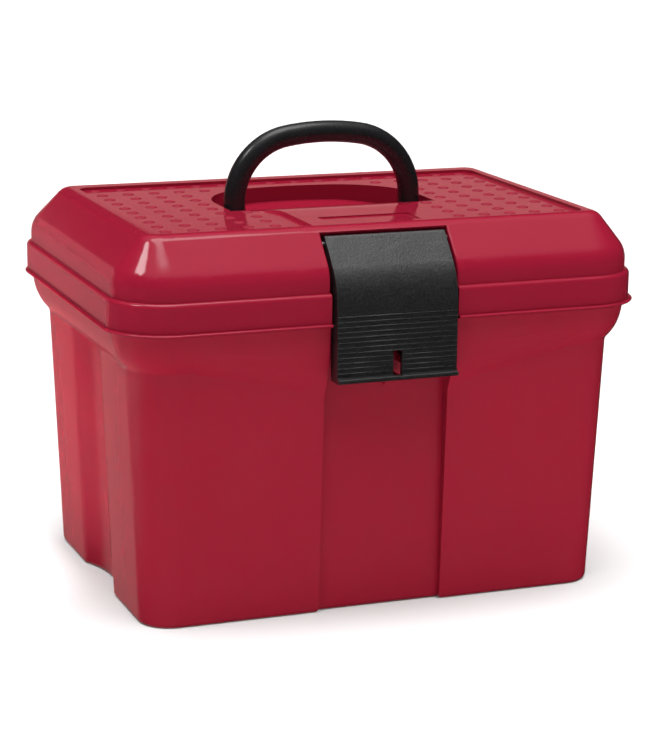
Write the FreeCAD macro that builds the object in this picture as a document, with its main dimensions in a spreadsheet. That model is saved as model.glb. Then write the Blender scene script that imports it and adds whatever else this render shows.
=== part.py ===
import FreeCAD, Part
import math
import os
import Sketcher

# Moulded carry box for art supplies: tub, hinged lid, bail handle, latch flap and lift-out tray.
# Millimetres. X runs to the right, Y to the back, Z up; the origin is the middle of the base.

doc = FreeCAD.newDocument("art_supply_box")
sheet = doc.addObject("Spreadsheet::Sheet", "dim")

SIZES = {
    # Lid plan, measured round the flange; the other outlines are set in from it
    "flange_width": 400,
    "flange_depth": 297,
    "flange_corner": 44,
    "flange_thick": 2.2,
    "flange_bevel": 0.8,
    "back_corner": 38,
    "skirt_inset": 2.8,
    "dome_inset": 6.2,
    "collar_inset": 6.5,
    "rim_inset": 8,
    # Tub
    "base_side": 25,
    "base_front": 24.5,
    "base_width": "=flange_width - 2 * base_side",
    "base_depth": "=flange_depth - 2 * base_front",
    "base_corner": 24,
    "base_edge": 3.5,
    "inner_bevel": 5,
    "wall_draft": 2.5,
    "tub_height": 233.8,
    "tub_wall": 3,
    "collar_height": 209.6,
    "collar_rise": 24,
    "collar_gap": 1,
    "collar_lean": 0.3,
    "inner_collar": 0.88,
    "waist_round": 5,
    "band_reach": 155,
    "band_dip": 29.5,
    "band_step": 12,
    "band_overlap": 5,
    "recess_width": 94,
    "recess_base": 120,
    "recess_rim": 124.5,
    "scoop_width": 82,
    "scoop_depth": 10,
    # Lid heights, counted up from the rim of the tub
    "lid_wall": 3,
    "lid_gap": 0.3,
    "skirt_drop": 19.7,
    "dome_wall": 14.5,
    "shoulder_rise": 27.5,
    "top_front": 31,
    "top_side": 28.2,
    "top_back": 37.5,
    "top_corner": 11,
    "step_round": 3.2,
    "shoulder_round": 20,
    "top_round": 11,
    "panel_sink": 2.2,
    "panel_margin": 6.5,
    "panel_side": 9.7,
    "panel_back": 14.5,
    "panel_corner": 9,
    "tongue_width": 98,
    "tongue_taper": 38,
    "tongue_flare": 28,
    "tongue_straight": 59,
    "roll_start": 44,
    "roll_radius": 190,
    "label_width": 69,
    "label_depth": 27,
    "label_from": 4,
    "label_sink": 0.9,
    "label_corner": 1.5,
    # Bail handle and its well
    "handle_span": 138,
    "handle_rise": 62.4,
    "handle_tube": 16,
    "handle_corner": 48,
    "handle_bow": 177,
    "pivot_sink": 13,
    "trunnion": 7,
    "trunnion_grip": 4,
    "well_gap": 3,
    "well_tilt": 6,
    "well_front": 10,
    "rest_gap": 0.5,
    # Latch flap
    "latch_width": 90,
    "latch_plate": 3,
    "latch_depth": 12,
    "latch_slope": 48.8,
    "latch_proud": 4.5,
    "latch_top": 4.5,
    "latch_bend": 45,
    "latch_bottom": 174.6,
    "latch_lip": 3.5,
    "lip_root": 4.5,
    "lip_round": 1,
    "latch_side_gap": 2.5,
    "latch_top_gap": 2,
    "recess_round": 1.5,
    "latch_pin": 4,
    "pin_along": 5,
    "pin_depth": 5.5,
    "latch_floor": 13,
    "slot_width": 6.5,
    "slot_height": 18,
    "hook_reach": 13,
    "hook_thick": 3,
    "hook_width": 24,
    "hook_from": 10,
    "catch_bite": 4,
    "catch_gap": 1,
    "catch_height": 7,
    "catch_tip": 2.3,
    "lug_width": 17,
    # Rear hinges
    "hinge_back": 7.5,
    "hinge_sink": 4,
    "web_slope": 26,
    "hinge_place": 110,
    "hinge_pin": 5,
    "knuckle": 12,
    "knuckle_length": 24,
    "tub_knuckle_length": 12,
    "knuckle_gap": 0.5,
    "pin_fit": 0.03,
    "turn_fit": 0.06,
    # Lift-out tray and its dividers
    "tray_end_gap": 4,
    "tray_front_gap": 1,
    "tray_ledge": 12,
    "tray_length": "=base_width + 2 * ((collar_height - collar_rise) * tan(wall_draft) - scoop_depth"
                   " - tub_wall - tray_end_gap)",
    "tray_width": "=2 * (recess_base - tub_wall - tray_front_gap) - tray_ledge",
    "tray_depth": 57,
    "tray_draft": 5,
    "tray_wall": 2,
    "tray_corner": 18,
    "tray_seat": 0.2,
    "rail_place": 30,
    "divider_thick": 2.5,
    "divider_place": 55,
    "divider_gap": 0.3,
    "guide_size": 3,
    "guide_height": 45,
    "divider_height": 48,
}

for row, (alias, size) in enumerate(SIZES.items(), start=1):
    sheet.set(f"A{row}", alias)
    sheet.set(f"B{row}", str(size))
    sheet.setAlias(f"B{row}", alias)
doc.recompute()


def dims(text):
    """Put the sheet's name before every size named in a formula."""
    for alias in sorted(SIZES, key=len, reverse=True):
        text = text.replace(f"<{alias}>", f"dim.{alias}")
    return text


def measure(text):
    """Value of a formula on the sheet's sizes."""
    return float(sheet.evalExpression(dims(text)))


# Share of a step in the wall that a round may take up
ROUND_SHARE = 0.9

# Heights and places that several pieces share
WAIST = "(<collar_height> - <collar_rise>)"
FLANGE_Z = "(<tub_height> - <skirt_drop>)"
COLLAR_TOP = f"({FLANGE_Z} - <collar_gap>)"
CEILING_Z = "(<tub_height> + <lid_gap>)"
STEP_Z = f"({CEILING_Z} + <lid_wall>)"
SHOULDER_Z = f"({STEP_Z} + <dome_wall>)"
TOP_Z = f"({SHOULDER_Z} + <shoulder_rise>)"
PANEL_Z = f"({TOP_Z} - <panel_sink>)"
PIVOT_Z = f"({TOP_Z} - <pivot_sink>)"
TOP_SHIFT = "((<top_front> - <top_back>) / 2)"
FRONT = "(<flange_depth> / 2)"
LATCH_Y = f"(-{FRONT} + <skirt_inset> - <latch_proud>)"
LATCH_TOP_Y = f"(-{FRONT} + <top_front> - <latch_top>)"
LATCH_TOP_Z = f"({TOP_Z} - <latch_top>)"
BEND_Z = f"({LATCH_TOP_Z} - ({LATCH_TOP_Y} - {LATCH_Y}) * tan(<latch_slope>))"
PIN_Y = f"({LATCH_TOP_Y} - <pin_along> * cos(<latch_slope>) + <pin_depth> * sin(<latch_slope>))"
PIN_Z = f"({LATCH_TOP_Z} - <pin_along> * sin(<latch_slope>) - <pin_depth> * cos(<latch_slope>))"
HINGE_Y = f"({FRONT} + <hinge_back>)"
HINGE_Z = f"({FLANGE_Z} - <hinge_sink>)"


def new_body(name):
    """Empty body with its own origin planes."""
    return doc.addObject("PartDesign::Body", name)


def new_sketch(body, name, plane, offset="0", shift="0", tilt="0"):
    """Sketch on one of the body's origin planes, lifted off it by a formula."""
    sketch = body.newObject("Sketcher::SketchObject", name)
    support = [item for item in body.Origin.OriginFeatures if item.Role == plane][0]
    sketch.AttachmentSupport = [(support, "")]
    sketch.MapMode = "FlatFace"
    sketch.setExpression("AttachmentOffset.Base.z", dims(offset))
    if shift != "0":
        sketch.setExpression("AttachmentOffset.Base.y", dims(shift))
    if tilt != "0":
        turn = FreeCAD.Rotation(FreeCAD.Vector(1, 0, 0), measure(tilt))
        sketch.AttachmentOffset = FreeCAD.Placement(sketch.AttachmentOffset.Base, turn)
        sketch.setExpression("AttachmentOffset.Rotation.Angle", dims(tilt))
    return sketch


def bind(sketch, kind, first, value, word):
    """Add a driving constraint and tie it to a formula."""
    index = sketch.addConstraint(Sketcher.Constraint(kind, *first, measure(value)))
    sketch.renameConstraint(index, word)
    sketch.setExpression(f"Constraints.{word}", dims(value))


def outline(body, name, width, depth, radius, height, shift="0", back=""):
    """Rounded rectangle about the Z axis at a height; its back corners may have their own radius."""
    sketch = new_sketch(body, name, "XY_Plane", height, shift)
    half_w = measure(width) / 2
    half_d = measure(depth) / 2
    front_r = measure(radius)
    back_r = measure(back or radius)
    vector = FreeCAD.Vector
    corners = [(1, -1, front_r), (1, 1, back_r), (-1, 1, back_r), (-1, -1, front_r)]
    sides = [
        (vector(front_r - half_w, -half_d), vector(half_w - front_r, -half_d)),
        (vector(half_w, front_r - half_d), vector(half_w, half_d - back_r)),
        (vector(half_w - back_r, half_d), vector(back_r - half_w, half_d)),
        (vector(-half_w, half_d - back_r), vector(-half_w, front_r - half_d)),
    ]
    for quarter, ((start, end), (right, rear, size)) in enumerate(zip(sides, corners)):
        sketch.addGeometry(Part.LineSegment(start, end))
        centre = vector(right * (half_w - size), rear * (half_d - size))
        turn = (quarter - 1) * math.pi / 2
        circle = Part.Circle(centre, vector(0, 0, 1), size)
        sketch.addGeometry(Part.ArcOfCircle(circle, turn, turn + math.pi / 2))
    for side in range(4):
        line = 2 * side
        arc = line + 1
        after = (line + 2) % 8
        sketch.addConstraint(Sketcher.Constraint("Tangent", line, 2, arc, 1))
        sketch.addConstraint(Sketcher.Constraint("Tangent", arc, 2, after, 1))
        sketch.addConstraint(Sketcher.Constraint("Vertical" if side % 2 else "Horizontal", line))
    sketch.addConstraint(Sketcher.Constraint("Equal", 1, 7))
    sketch.addConstraint(Sketcher.Constraint("Equal", 3, 5))
    bind(sketch, "Radius", (1,), radius, "corner")
    bind(sketch, "Radius", (3,), back or radius, "back_corner")
    bind(sketch, "DistanceX", (6, 1, 2, 1), width, "width")
    bind(sketch, "DistanceX", (-1, 1, 2, 1), f"({width}) / 2", "right")
    bind(sketch, "DistanceY", (0, 1, 4, 1), depth, "depth")
    bind(sketch, "DistanceY", (-1, 1, 4, 1), f"({depth}) / 2", "rear")
    return sketch


def polygon(body, name, plane, points, offset="0"):
    """Closed outline of straight edges through points given as formulas."""
    sketch = new_sketch(body, name, plane, offset)
    spots = [FreeCAD.Vector(measure(x), measure(y)) for x, y in points]
    count = len(spots)
    for index in range(count):
        sketch.addGeometry(Part.LineSegment(spots[index], spots[(index + 1) % count]))
    for index in range(count):
        sketch.addConstraint(Sketcher.Constraint("Coincident", index, 2, (index + 1) % count, 1))
    for index, (x, y) in enumerate(points):
        bind(sketch, "DistanceX", (-1, 1, index, 1), x, f"across{index}")
        bind(sketch, "DistanceY", (-1, 1, index, 1), y, f"along{index}")
    return sketch


def half_disc(body, name, radius, across, facing, offset):
    """Half disc about a point on the X axis, its round side towards plus or minus X."""
    sketch = new_sketch(body, name, "XY_Plane", offset)
    centre = FreeCAD.Vector(measure(across), 0)
    size = measure(radius)
    start = math.radians(-90 if facing > 0 else 90)
    round_side = Part.Circle(centre, FreeCAD.Vector(0, 0, 1), size)
    sketch.addGeometry(Part.ArcOfCircle(round_side, start, start + math.pi))
    reach = FreeCAD.Vector(0, facing * size)
    sketch.addGeometry(Part.LineSegment(centre + reach, centre - reach))
    sketch.addConstraint(Sketcher.Constraint("Coincident", 0, 2, 1, 1))
    sketch.addConstraint(Sketcher.Constraint("Coincident", 1, 2, 0, 1))
    sketch.addConstraint(Sketcher.Constraint("Vertical", 1))
    sketch.addConstraint(Sketcher.Constraint("PointOnObject", 0, 3, 1))
    sketch.addConstraint(Sketcher.Constraint("PointOnObject", 0, 3, -1))
    bind(sketch, "Radius", (0,), radius, "radius")
    bind(sketch, "DistanceX", (-1, 1, 0, 3), across, "across")
    return sketch


def extrude(body, kind, name, sketch, length, side="One side", back=False):
    """Pad or Pocket of a sketch."""
    feature = body.newObject(f"PartDesign::{kind}", name)
    feature.Profile = sketch
    feature.setExpression("Length", dims(length))
    feature.SideType = side
    feature.Reversed = back
    return feature


def loft(body, kind, name, sections, ruled):
    """AdditiveLoft or SubtractiveLoft through sketches."""
    feature = body.newObject(f"PartDesign::{kind}", name)
    feature.Profile = sections[0]
    feature.Sections = sections[1:]
    feature.Ruled = ruled
    return feature


def ease_edges(body, kind, name, wanted, size):
    """Fillet or Chamfer on the edges of the body's newest feature that a test picks."""
    doc.recompute()
    base = body.Tip
    names = [f"Edge{n}" for n, edge in enumerate(base.Shape.Edges, start=1) if wanted(edge)]
    feature = body.newObject(f"PartDesign::{kind}", name)
    feature.Base = (base, names)
    feature.setExpression("Radius" if kind == "Fillet" else "Size", dims(size))
    return feature


def round_edges(body, name, wanted, radius):
    """Fillet on the edges that a test picks."""
    return ease_edges(body, "Fillet", name, wanted, radius)


def flat_edge(edge, slack=0.01):
    """Test for edges that lie flat at any height."""
    return edge.BoundBox.ZLength < slack


def level_edge(height, slack=0.01):
    """Test for edges that lie flat at a height."""
    level = measure(height)
    return lambda edge: abs(edge.BoundBox.ZMin - level) < slack and abs(edge.BoundBox.ZMax - level) < slack


def inset_outline(body, name, inset, height, back="<back_corner>"):
    """Outline set in from the lid's flange by the same amount all round."""
    width = f"<flange_width> - 2 * ({inset})"
    depth = f"<flange_depth> - 2 * ({inset})"
    return outline(body, name, width, depth, f"<flange_corner> - ({inset})", height,
                   back=f"{back} - ({inset})")


def flare(part):
    """How far the collar has drawn in at a part of the way down to the waist."""
    return f"<collar_lean> * {part} + (1 - <collar_lean>) * {part ** 3}"


def tub_form(name, shrink, steps, share):
    """Solid form of the tub; the inner form is the same one drawn in by the wall."""
    body = new_body(name)
    height = f"({WAIST} - {shrink})"
    spread = f"({height} * tan(<wall_draft>) - {shrink})"
    base = outline(body, f"{name}_base", f"<base_width> - 2 * {shrink}", f"<base_depth> - 2 * {shrink}",
                   f"<base_corner> - {shrink}", shrink)
    walls = extrude(body, "Pad", f"{name}_walls", base, height)
    walls.setExpression("TaperAngle", dims("<wall_draft>"))
    if shrink != "0":
        ease_edges(body, "Chamfer", f"{name}_base_bevel", level_edge(shrink), "<inner_bevel>")

    # Collar, swelling out from the waist in a convex curve up to just below the lid's flange
    top = f"({WAIST} + ({COLLAR_TOP} - {WAIST}) * {share})"
    inset = f"(<collar_inset> + {shrink})"
    rings = []
    for step in range(steps, -1, -1):
        part = step / steps
        bulge = f"({flare(part)})"
        rings.append(outline(
            body, f"{name}_collar_{step}",
            f"(<flange_width> - 2 * {inset}) * (1 - {bulge}) + (<base_width> + 2 * {spread}) * {bulge}",
            f"(<flange_depth> - 2 * {inset}) * (1 - {bulge}) + (<base_depth> + 2 * {spread}) * {bulge}",
            f"(<flange_corner> - {inset}) * (1 - {bulge}) + (<base_corner> + {spread}) * {bulge}",
            f"{WAIST} + ({top} - {WAIST}) * {1 - part}",
            back=f"(<back_corner> - {inset}) * (1 - {bulge}) + (<base_corner> + {spread}) * {bulge}"))
    loft(body, "AdditiveLoft", f"{name}_collar", rings, False)
    if shrink == "0":
        round_edges(body, f"{name}_waist_round", level_edge(WAIST), "<waist_round>")
    rim = inset_outline(body, f"{name}_rim", f"<rim_inset> + {shrink}", top)
    extrude(body, "Pad", f"{name}_rim_wall", rim, f"<tub_height> - {top} + {shrink}")

    # Scoops in the end walls, arcs whose chord and depth are given
    scoop = "((<scoop_width> ^ 2 / 4 + <scoop_depth> ^ 2) / (2 * <scoop_depth>))"
    lean = f"{WAIST} * tan(<wall_draft>)"
    for side, sign, facing in (("right", "", -1), ("left", "-", 1)):
        ends = []
        for lean_out, level in (("0", "0"), (lean, f"{WAIST} + {shrink}")):
            ends.append(half_disc(body, f"{name}_scoop_{side}_{len(ends)}", f"{scoop} + {shrink}",
                                  f"{sign}(<base_width> / 2 + {lean_out} + {scoop} - <scoop_depth>)",
                                  facing, level))
        loft(body, "SubtractiveLoft", f"{name}_scoop_{side}", ends, True)

    # Front band: on each side the curve of the collar reaches lower towards the middle
    front = f"(-{FRONT} + <collar_inset> + {shrink})"
    for side, sign in (("right", ""), ("left", "-")):
        sections = []
        for reach, dip in (("<recess_width> / 2 - <band_overlap>", "<band_dip>"), ("<band_reach>", "0")):
            drop = f"({top} - {WAIST} + {dip})"
            curve = [(f"{front} + <band_step> * ({flare(step / steps)})",
                      f"{top} - {drop} * {step / steps}") for step in range(steps + 1)]
            back = f"{front} + 2 * <band_step>"
            curve += [(back, f"{top} - {drop}"), (back, top)]
            sections.append(polygon(body, f"{name}_band_{side}_{len(sections)}", "YZ_Plane", curve,
                                    f"{sign}({reach})"))
        loft(body, "AdditiveLoft", f"{name}_band_{side}", sections, True)

    # Recessed centre panel, open at the top behind the latch
    outside = "-<flange_depth>"
    panel = polygon(body, f"{name}_panel", "YZ_Plane", [
        (f"-<recess_base> + {shrink}", "0"),
        (f"-<recess_rim> + {shrink}", "<tub_height>"),
        (f"-<recess_rim> + {shrink}", "2 * <tub_height>"),
        (outside, "2 * <tub_height>"),
        (outside, "-<tub_height>"),
        (f"-<recess_base> + {shrink}", "-<tub_height>"),
    ])
    extrude(body, "Pocket", f"{name}_recess", panel, f"<recess_width> + 2 * {shrink}", "Symmetric")
    if shrink == "0":
        limit = f"abs(<base_depth> / 2 - <recess_base>) * {ROUND_SHARE}"
        round_edges(body, f"{name}_base_round", level_edge(shrink), f"min(<base_edge>; {limit})")
    return body


def common(name, base, tool):
    """What two solids share."""
    feature = doc.addObject("Part::Common", name)
    feature.Base = base
    feature.Tool = tool
    return feature


def cut(name, base, tool):
    """One solid less another."""
    feature = doc.addObject("Part::Cut", name)
    feature.Base = base
    feature.Tool = tool
    return feature


def fuse(name, shapes):
    """Solids joined into one."""
    feature = doc.addObject("Part::MultiFuse", name)
    feature.Shapes = shapes
    feature.Refine = True
    return feature


def place(feature, x, y, z):
    """Tie an object's position to formulas."""
    for axis, value in zip("xyz", (x, y, z)):
        feature.setExpression(f"Placement.Base.{axis}", dims(value))
    return feature


def rod(name, radius, length, x, y, z):
    """Cylinder along X, from its left end."""
    feature = doc.addObject("Part::Cylinder", name)
    feature.setExpression("Radius", dims(radius))
    feature.setExpression("Height", dims(length))
    feature.Placement = FreeCAD.Placement(FreeCAD.Vector(), FreeCAD.Rotation(FreeCAD.Vector(0, 1, 0), 90))
    return place(feature, x, y, z)


def block(name, length, width, height, x, y, z):
    """Box from its lowest corner."""
    feature = doc.addObject("Part::Box", name)
    for side, value in (("Length", length), ("Width", width), ("Height", height)):
        feature.setExpression(side, dims(value))
    return place(feature, x, y, z)


def plate(name, points, length, offset):
    """Flat piece with a YZ outline, from a place on X towards plus X."""
    body = new_body(name)
    side = polygon(body, f"{name}_outline", "YZ_Plane", points, offset)
    extrude(body, "Pad", f"{name}_pad", side, length)
    return body


SIDES = (("left", "-"), ("right", ""))


def hinge_leaf(name, outline_points, pieces):
    """Knuckles of the rear hinges with the webs that carry them."""
    solids = []
    for side, sign in SIDES:
        for index, (start, length) in enumerate(pieces):
            left = f"{sign}<hinge_place> + {start}"
            solids.append(plate(f"{name}_web_{side}_{index}", outline_points, length, left))
            solids.append(rod(f"{name}_knuckle_{side}_{index}", "<knuckle> / 2", length,
                              left, HINGE_Y, HINGE_Z))
    return solids


def pin_bores(name, fit):
    """Cutters for the hinge pins' bores."""
    length = "<knuckle_length> + 2 * <tub_knuckle_length> + 4 * <knuckle_gap>"
    return [rod(f"{name}_bore_{side}", f"<hinge_pin> / 2 + {fit}", length,
                f"{sign}<hinge_place> - ({length}) / 2", HINGE_Y, HINGE_Z) for side, sign in SIDES]


# Tub: one moulding with its hinge knuckles, the catch noses for the latch and the lug under it
tub_outside = tub_form("tub_outside", "0", 5, "1")
tub_inside = tub_form("tub_inside", "<tub_wall>", 3, "<inner_collar>")

# Webs and noses reach in past the wall; the hollow of the tub then trims them to it
ROOT = "(<base_depth> / 4)"
WEB_FALL = f"(({HINGE_Y} - {ROOT}) * tan(<web_slope>))"
tub_web = [
    (ROOT, f"{HINGE_Z} - <knuckle> / 2 - {WEB_FALL}"),
    (HINGE_Y, f"{HINGE_Z} - <knuckle> / 2"),
    (HINGE_Y, f"{HINGE_Z} + <pin_fit>"),
    (ROOT, f"{HINGE_Z} + <pin_fit>"),
]
outer = "<knuckle_length> / 2 + <knuckle_gap>"
tub_leaf = hinge_leaf("tub_leaf", tub_web, [
    (outer, "<tub_knuckle_length>"),
    (f"-({outer}) - <tub_knuckle_length>", "<tub_knuckle_length>"),
])

HOOK_Z = "(<latch_bottom> + <hook_thick>)"
HOOK_BACK = f"({LATCH_Y} + <latch_plate> + <hook_reach>)"
NOSE_Z = f"({HOOK_Z} + <hook_thick> + <catch_gap>)"
nose = [
    (f"-{ROOT}", NOSE_Z),
    (f"{HOOK_BACK} - <catch_bite>", NOSE_Z),
    (f"{HOOK_BACK} - <catch_bite>", f"{NOSE_Z} + <catch_tip>"),
    ("-<recess_rim>", f"{NOSE_Z} + <catch_height>"),
    (f"-{ROOT}", f"{NOSE_Z} + <catch_height>"),
]
catches = [plate(f"catch_nose_{side}", nose, "<hook_width>", start) for side, start in (
    ("left", "-<hook_from> - <hook_width>"), ("right", "<hook_from>"))]
lug = [
    (f"-{ROOT}", "<latch_bottom> - <catch_gap> - <latch_plate>"),
    (f"{LATCH_Y} + <latch_plate>", "<latch_bottom> - <catch_gap> - <latch_plate>"),
    (f"{LATCH_Y} + <latch_plate>", "<latch_bottom> - <catch_gap>"),
    (f"-{ROOT}", "<latch_bottom> - <catch_gap>"),
]
catches.append(plate("catch_lug", lug, "<lug_width>", "-<lug_width> / 2"))
tub_solid = fuse("tub_solid", [tub_outside] + tub_leaf + catches)
tub_walls = cut("tub_walls", tub_solid, tub_inside)
tub_shell = cut("tub_shell", tub_walls, fuse("tub_bores", pin_bores("tub", "<pin_fit>")))


def arch(body, name, plane, span, rise, corner, bow, foot, closed, offset="0", shift="0", tilt="0"):
    """Arch of two legs, two corner arcs and a bowed top; closed across its feet for a pocket."""
    sketch = new_sketch(body, name, plane, offset, shift, tilt)
    vector = FreeCAD.Vector
    up = vector(0, 0, 1)
    half = measure(span) / 2
    corner_r = measure(corner)
    bow_r = measure(bow)
    bow_y = measure(rise) - bow_r
    corner_x = half - corner_r
    corner_y = bow_y + math.sqrt((bow_r - corner_r) ** 2 - corner_x ** 2)
    turn = math.atan2(corner_y - bow_y, corner_x)
    feet = measure(foot)
    sketch.addGeometry(Part.LineSegment(vector(half, feet), vector(half, corner_y)))
    right = Part.Circle(vector(corner_x, corner_y), up, corner_r)
    sketch.addGeometry(Part.ArcOfCircle(right, 0, turn))
    sketch.addGeometry(Part.ArcOfCircle(Part.Circle(vector(0, bow_y), up, bow_r), turn, math.pi - turn))
    left = Part.Circle(vector(-corner_x, corner_y), up, corner_r)
    sketch.addGeometry(Part.ArcOfCircle(left, math.pi - turn, math.pi))
    sketch.addGeometry(Part.LineSegment(vector(-half, corner_y), vector(-half, feet)))
    for edge in range(4):
        sketch.addConstraint(Sketcher.Constraint("Tangent", edge, 2, edge + 1, 1))
    for leg in (0, 4):
        sketch.addConstraint(Sketcher.Constraint("Vertical", leg))
    sketch.addConstraint(Sketcher.Constraint("Equal", 1, 3))
    sketch.addConstraint(Sketcher.Constraint("PointOnObject", 2, 3, -2))
    bind(sketch, "Radius", (1,), corner, "corner")
    bind(sketch, "Radius", (2,), bow, "bow")
    bind(sketch, "DistanceY", (-1, 1, 2, 3), f"({rise}) - ({bow})", "bow_centre")
    bind(sketch, "DistanceX", (-1, 1, 0, 1), f"({span}) / 2", "right_leg")
    bind(sketch, "DistanceX", (-1, 1, 4, 2), f"-({span}) / 2", "left_leg")
    bind(sketch, "DistanceY", (-1, 1, 0, 1), foot, "right_foot")
    bind(sketch, "DistanceY", (-1, 1, 4, 2), foot, "left_foot")
    if closed:
        sketch.addGeometry(Part.LineSegment(vector(-half, feet), vector(half, feet)))
        sketch.addConstraint(Sketcher.Constraint("Coincident", 4, 2, 5, 1))
        sketch.addConstraint(Sketcher.Constraint("Coincident", 5, 2, 0, 1))
    return sketch


SHOULDER_LEAN = "atan((<top_front> - <dome_inset>) / <shoulder_rise>)"
SHOULDER_PITCH = "atan(<shoulder_rise> / (<top_front> - <dome_inset>))"
WELL_SIDE = "(<handle_span> / 2 + <handle_tube> / 2 + <well_gap>)"
TOP_HALF = "(<flange_width> / 2 - <top_side>)"


def lid_form(name, shrink, flange):
    """Solid form of the lid; the inner form is the same one drawn in by the wall."""
    body = new_body(name)
    if flange:
        rim = inset_outline(body, f"{name}_flange", "0", FLANGE_Z, "<flange_corner>")
        extrude(body, "Pad", f"{name}_flange_pad", rim, "<flange_thick>")
        ease_edges(body, "Chamfer", f"{name}_bead", flat_edge, "<flange_bevel>")
    skirt = inset_outline(body, f"{name}_skirt", f"<skirt_inset> + {shrink}", f"{FLANGE_Z} - {shrink}")
    extrude(body, "Pad", f"{name}_skirt_pad", skirt, f"{STEP_Z} - {FLANGE_Z}")
    if flange:
        round_edges(body, f"{name}_step_round", level_edge(STEP_Z), "<step_round>")

    # Dome: a short upright wall, then sloping shoulders up to the flat top
    ease = f"({shrink} * tan({SHOULDER_LEAN} / 2))"
    draw_in = f"({shrink} * tan({SHOULDER_PITCH} / 2))"
    foot = inset_outline(body, f"{name}_dome", f"<dome_inset> + {shrink}", f"{STEP_Z} - {shrink}")
    extrude(body, "Pad", f"{name}_dome_wall", foot, f"<dome_wall> + {shrink} - {ease}")
    low = inset_outline(body, f"{name}_shoulder", f"<dome_inset> + {shrink}", f"{SHOULDER_Z} - {ease}")
    high = outline(body, f"{name}_top", f"2 * ({TOP_HALF} - {draw_in})",
                   f"<flange_depth> - <top_front> - <top_back> - 2 * {draw_in}",
                   f"<top_corner> - {draw_in}", f"{TOP_Z} - {shrink}", TOP_SHIFT)
    loft(body, "AdditiveLoft", f"{name}_shoulders", [low, high], True)
    if flange:
        round_edges(body, f"{name}_shoulder_round", level_edge(SHOULDER_Z), "<shoulder_round>")
        round_edges(body, f"{name}_top_round", level_edge(TOP_Z), "<top_round>")
    return body


def tongue_outline(body, name, half, front, bend, flare_radius, height):
    """Strip with straight sides that flare outwards in arcs at its back end."""
    sketch = new_sketch(body, name, "XY_Plane", height)
    vector = FreeCAD.Vector
    side = measure(half)
    start = measure(front)
    turn = measure(bend)
    size = measure(flare_radius)
    sketch.addGeometry(Part.LineSegment(vector(-side, start), vector(side, start)))
    sketch.addGeometry(Part.LineSegment(vector(side, start), vector(side, turn)))
    right = Part.Circle(vector(side + size, turn), vector(0, 0, 1), size)
    sketch.addGeometry(Part.ArcOfCircle(right, math.pi / 2, math.pi))
    back = turn + size
    sketch.addGeometry(Part.LineSegment(vector(side + size, back), vector(-side - size, back)))
    left = Part.Circle(vector(-side - size, turn), vector(0, 0, 1), size)
    sketch.addGeometry(Part.ArcOfCircle(left, 0, math.pi / 2))
    sketch.addGeometry(Part.LineSegment(vector(-side, turn), vector(-side, start)))
    for first, second in (((0, 2), (1, 1)), ((2, 1), (3, 1)), ((3, 2), (4, 2)), ((5, 2), (0, 1))):
        sketch.addConstraint(Sketcher.Constraint("Coincident", *first, *second))
    for first, second in (((1, 2), (2, 2)), ((4, 1), (5, 1))):
        sketch.addConstraint(Sketcher.Constraint("Tangent", *first, *second))
    for line, way in ((0, "Horizontal"), (1, "Vertical"), (5, "Vertical")):
        sketch.addConstraint(Sketcher.Constraint(way, line))
    for arc, end in ((2, 1), (4, 2)):
        sketch.addConstraint(Sketcher.Constraint("Vertical", arc, end, arc, 3))
    sketch.addConstraint(Sketcher.Constraint("Equal", 2, 4))
    bind(sketch, "Radius", (2,), flare_radius, "flare")
    bind(sketch, "DistanceX", (-1, 1, 1, 1), half, "right")
    bind(sketch, "DistanceX", (-1, 1, 5, 1), f"-({half})", "left")
    bind(sketch, "DistanceY", (-1, 1, 0, 1), front, "front")
    bind(sketch, "DistanceY", (-1, 1, 1, 2), bend, "right_bend")
    bind(sketch, "DistanceY", (-1, 1, 5, 1), bend, "left_bend")
    return sketch


def roll_outline(body, name, start, top, radius, end):
    """Space above a surface that rolls down in an arc from a level top."""
    sketch = new_sketch(body, name, "YZ_Plane")
    vector = FreeCAD.Vector
    first = measure(start)
    level = measure(top)
    size = measure(radius)
    last = measure(end)
    low = level - size + math.sqrt(size ** 2 - (last - first) ** 2)
    roof = level + size
    circle = Part.Circle(vector(first, level - size), vector(0, 0, 1), size)
    sketch.addGeometry(Part.ArcOfCircle(circle, math.acos((last - first) / size), math.pi / 2))
    sketch.addGeometry(Part.LineSegment(vector(first, level), vector(first, roof)))
    sketch.addGeometry(Part.LineSegment(vector(first, roof), vector(last, roof)))
    sketch.addGeometry(Part.LineSegment(vector(last, roof), vector(last, low)))
    for edge, point, after, other in ((0, 2, 1, 1), (1, 2, 2, 1), (2, 2, 3, 1), (3, 2, 0, 1)):
        sketch.addConstraint(Sketcher.Constraint("Coincident", edge, point, after, other))
    for line, way in ((1, "Vertical"), (2, "Horizontal"), (3, "Vertical")):
        sketch.addConstraint(Sketcher.Constraint(way, line))
    bind(sketch, "Radius", (0,), radius, "radius")
    bind(sketch, "DistanceX", (-1, 1, 0, 3), start, "centre")
    bind(sketch, "DistanceX", (-1, 1, 1, 1), start, "start")
    bind(sketch, "DistanceY", (-1, 1, 1, 1), top, "level")
    bind(sketch, "DistanceY", (-1, 1, 1, 2), f"({top}) + ({radius})", "roof")
    bind(sketch, "DistanceX", (-1, 1, 2, 2), end, "end")
    return sketch


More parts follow.
